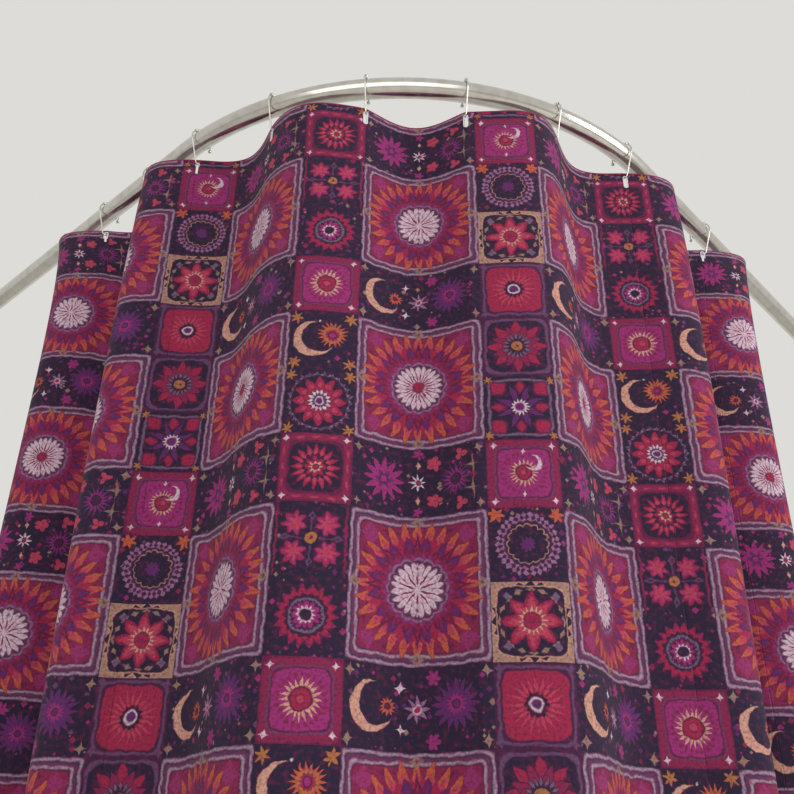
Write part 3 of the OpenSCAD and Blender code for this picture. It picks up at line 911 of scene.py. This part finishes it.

# %% [markdown]
# ## Buttonholes
# Each slit is edged with a bar of white satin stitch, so close that it reads as one raised oval. It is
# a thin torus pulled apart into a long oval and pressed a little flat. It is made once, then copied to
# the twelve hooks, turned to lie in the cloth. The stitching itself is too fine to model, so it is
# left to the thread's finish: a bump for the ridges of the stitches, and painted shade in the grooves.

# %% One stitched oval
clear_selection()
bpy.ops.mesh.primitive_torus_add(major_radius=0.0028, minor_radius=0.0010, major_segments=56,
                                 minor_segments=12, generate_uvs=True)
oval = bpy.context.object
bpy.ops.object.mode_set(mode="EDIT")
for side in (1, -1):
    bpy.ops.mesh.select_all(action="DESELECT")
    bpy.ops.object.mode_set(mode="OBJECT")
    for vert in oval.data.vertices:
        vert.select = vert.co.y * side > 1e-5
    bpy.ops.object.mode_set(mode="EDIT")
    bpy.ops.transform.translate(value=(0, 0.0082 * side, 0))
bpy.ops.mesh.select_all(action="DESELECT")
bpy.ops.object.mode_set(mode="OBJECT")
for edge in oval.data.edges:
    a, b = (oval.data.vertices[i].co for i in edge.vertices)
    edge.select = abs(a.y - b.y) > 0.004
bpy.context.tool_settings.mesh_select_mode = (False, True, False)
bpy.ops.object.mode_set(mode="EDIT")
bpy.ops.mesh.subdivide(number_cuts=27)
bpy.ops.mesh.select_all(action="SELECT")
bpy.ops.transform.resize(value=(1, 1, 0.62))
bpy.ops.object.mode_set(mode="OBJECT")
bpy.ops.object.shade_smooth()
print("oval:", len(oval.data.vertices), "points,", round(oval.dimensions.y * 1000, 1), "mm long")

# %% Thread finish
THREAD_TURN = 0.0005                            # two neighbouring stitches of the satin bar
thread, tree, shader = new_material("white_thread")
split = tree.nodes.new("ShaderNodeSeparateXYZ")
plug(tree, object_place(tree), split.inputs[0])
stitch_ridges = abs(sums(tree, "SINE", Field(tree, split.outputs["Z"]) / THREAD_TURN * math.tau))
# Greyer in the grooves between the stitches and white on their ridges: the grey is painted shade in the grooves.
plug(tree, blend_colour(tree, "e2e0e0", "ffffff", stitch_ridges), shader.inputs["Base Color"])
shader.inputs["Roughness"].default_value = 0.55
shader.inputs["Sheen Weight"].default_value = 0.3
bump(tree, shader, stitch_ridges, 0.0002)

# %% Twelve ovals in place
SLIT_MIDDLE = (SLIT_TOP + SLIT_LOW) / 2
middle_row = int(np.argmin(np.abs(rows - SLIT_MIDDLE)))
BODY_OF = {name: body for body, names in frame["record"]["behaviour"]["bodies"].items() for name in names}
for k in range(HOOKS):
    u = np.array([k * PITCH, k * PITCH - 0.002, k * PITCH + 0.002])
    x, y = sheet_at(middle_row, u)
    along = Vector((x[2] - x[1], y[2] - y[1], 0)).normalized()
    through = along.cross(Vector((0, 0, 1)))
    turn = Matrix((along, Vector((0, 0, 1)), through)).transposed().to_4x4()
    mesh = oval.data.copy()
    mesh.transform(Matrix.Translation((x[0], y[0], HEM_Z - SLIT_MIDDLE)) @ turn)
    mesh.materials.append(thread)
    piece = bpy.data.objects.new(f"thread_{k + 1:02d}", mesh)
    bpy.context.scene.collection.objects.link(piece)
    node = f"buttonhole_{k + 1:02d}"
    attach(piece, BODY_OF[node])
    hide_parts(node)
bpy.data.objects.remove(oval)

# %% [markdown]
# ## The cloth and the bodies
# For each panel between two hooks that move apart, the start and the end of a change from one hook's
# body to the other are worked out along the leg the hooks run along; the end lies where the cloth's
# outer edge stands at the bottom, nearer to the bend than its hook. Nothing uses them yet: the panel's
# place is only baked into its points. The middle piece goes with the body of the rod and centre.

# %% Bodies and sheets
CHAIN = {"cloth_left_inner": (3, 2), "cloth_left_middle": (2, 1), "cloth_left_end": (1, 0),
         "cloth_right_inner": (8, 9), "cloth_right_middle": (9, 10), "cloth_right_end": (10, 11)}


for name, piece in cloth.items():
    if name in CHAIN:
        here, there = CHAIN[name]
        inset = 0.006 * np.sign(hooks[there] - hooks[here])
        drawn_in = float(drift(there, CLOTH_H))
        points = [rod_place(hooks[here] + inset, 0.0), rod_place(hooks[there] + drawn_in - inset, 0.0)]
        start, stop = [Vector((float(x), float(y), HEM_Z)) for x, y in points]
        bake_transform(piece)
    else:
        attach(piece, "rod_and_centre")
    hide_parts(name)
for name, first, last in PANELS:
    u = columns(first, last)
    print(name, "flat width in mm:", round(1000 * float(u[-1] - u[0]), 1))

# %% [markdown]
# ## Bright metal
# The rod, the flanges and the wire are steel with a bright nickel-chrome coat. Such a coat is never a
# perfect mirror: fine polishing marks cover the tube, and the haze of soap and hands makes parts of
# it duller. One group makes both marks, and each metal takes it with its own strength.

# %% Polish marks
polish, p, end = new_group("polish", "Place:vector Fine Low High", "Roughness Height")
haze, lines = cloudy(polish, p["Place"], 14.0, 4.0), cloudy(polish, p["Place"], 900.0, 2.0)
spread = p["High"] - p["Low"]
give(end, Roughness=p["Low"] + spread * haze + (lines - 0.5) * p["Fine"], Height=lines)


def metal(name, colour, low, high, fine, tint):
    material, tree, shader = new_material(name)
    place = object_place(tree)
    marks = use(tree, polish, Place=place, Fine=fine, Low=low, High=high)
    base = blend_colour(tree, colour, tint, soft(cloudy(tree, place, 60.0, 4.0) - 0.56, 0.25))
    plug(tree, base, shader.inputs["Base Color"])
    shader.inputs["Metallic"].default_value = 1.0
    plug(tree, marks["Roughness"], shader.inputs["Roughness"])
    bump(tree, shader, marks["Height"], 0.00003, 0.25)
    return material


bright = metal("bright_rod", "cfccc6", 0.10, 0.24, 0.06, "c3bdb4")
fitting = metal("bright_fitting", "cdcac4", 0.14, 0.28, 0.08, "bdb7ae")
wire = metal("bright_wire", "d2d0cb", 0.10, 0.20, 0.05, "bfb9ae")
bead = metal("bright_bead", "d8d6d2", 0.06, 0.14, 0.03, "c8c3ba")
screw = metal("plain_screw", "9c9a97", 0.25, 0.40, 0.10, "86827d")

# %% Metals on the frame's parts
METALS = {"curtain_rod": bright, "left_wall_flange": fitting, "right_wall_flange": fitting,
          "left_set_screw": screw, "right_set_screw": screw}
painted = 0
for name, part in parts.items():
    chosen = METALS.get(name)
    if name.startswith("hook_wire"):
        chosen = wire
    elif name.startswith("hook_beads"):
        chosen = bead
    if chosen:
        part.data.materials.clear()
        part.data.materials.append(chosen)
        painted += 1
print(painted, "metal parts finished")

# %% [markdown]
# ## Floor, light and camera
# The floor lies just under the curtain. The light is soft: a pale surround, a wide lamp on the viewer's
# side and a tall bright one to the right, which draws the light band along the right leg of the rod.
# The camera stands in the room, a metre below the rod, and looks up at the hem.

# %% Floor
clear_selection()
bpy.ops.mesh.primitive_plane_add(size=14, location=(MIDDLE_X, APEX_Y, cad_low.z - 0.04))
floor = bpy.context.object
floor.name = "floor"
floor.data.transform(floor.matrix_world)
floor.matrix_world = Matrix.Identity(4)
plaster, tree, shader = new_material("pale_floor")
grain = cloudy(tree, object_place(tree), 3.0, 5.0)
plug(tree, blend_colour(tree, "d6d4d0", "e2e0dc", grain), shader.inputs["Base Color"])
shader.inputs["Roughness"].default_value = 0.8
floor.data.materials.append(plaster)
floor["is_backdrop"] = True

# %% Surround
world = bpy.data.worlds.new("surround")
bpy.context.scene.world = world
world.use_nodes = True
sky = world.node_tree.nodes["Background"]
sky.inputs["Color"].default_value = shade("dddcd8")
sky.inputs["Strength"].default_value = 1.0
bpy.context.scene.view_settings.view_transform = "Standard"


def lamp(name, place, target, wide, high, power, colour=(1, 1, 1)):
    light = bpy.data.lights.new(name, "AREA")
    light.shape, light.size, light.size_y = "RECTANGLE", wide, high
    light.energy, light.color = power, colour
    obj = bpy.data.objects.new(name, light)
    bpy.context.scene.collection.objects.link(obj)
    obj.location = place
    obj.rotation_mode = "QUATERNION"
    obj.rotation_quaternion = (Vector(target) - Vector(place)).to_track_quat("-Z", "Y")
    return obj


aim = Vector((MIDDLE_X, APEX_Y, -0.6))
lamp("viewer_side", aim + Vector((-0.6, -3.0, 0.6)), aim, 3.0, 2.5, 30)
lamp("window_right", aim + Vector((3.2, -1.2, 0.9)), aim, 1.2, 2.4, 60)

# %% Camera
EYE = Vector((MIDDLE_X - 0.0616, APEX_Y - 0.9577, -1.0387))
PITCH_UP, HEADING, ROLL = math.radians(28.83), math.radians(2.03), math.radians(0.96)
camera = bpy.data.objects.new("camera", bpy.data.cameras.new("camera"))
bpy.context.scene.collection.objects.link(camera)
camera.data.sensor_width = 36.0
camera.data.lens = 41.98
ahead = Vector((math.sin(HEADING) * math.cos(PITCH_UP), math.cos(HEADING) * math.cos(PITCH_UP), math.sin(PITCH_UP)))
level = Vector((math.cos(HEADING), -math.sin(HEADING), 0))
above = level.cross(ahead)
right = level * math.cos(ROLL) + above * math.sin(ROLL)
upward = above * math.cos(ROLL) - level * math.sin(ROLL)
camera.matrix_world = Matrix.Translation(EYE) @ Matrix((right, upward, -ahead)).transposed().to_4x4()
bpy.context.scene.camera = camera

# %% Sizes
low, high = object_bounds()
print("visual box in metres:", [round(v, 3) for v in high - low])
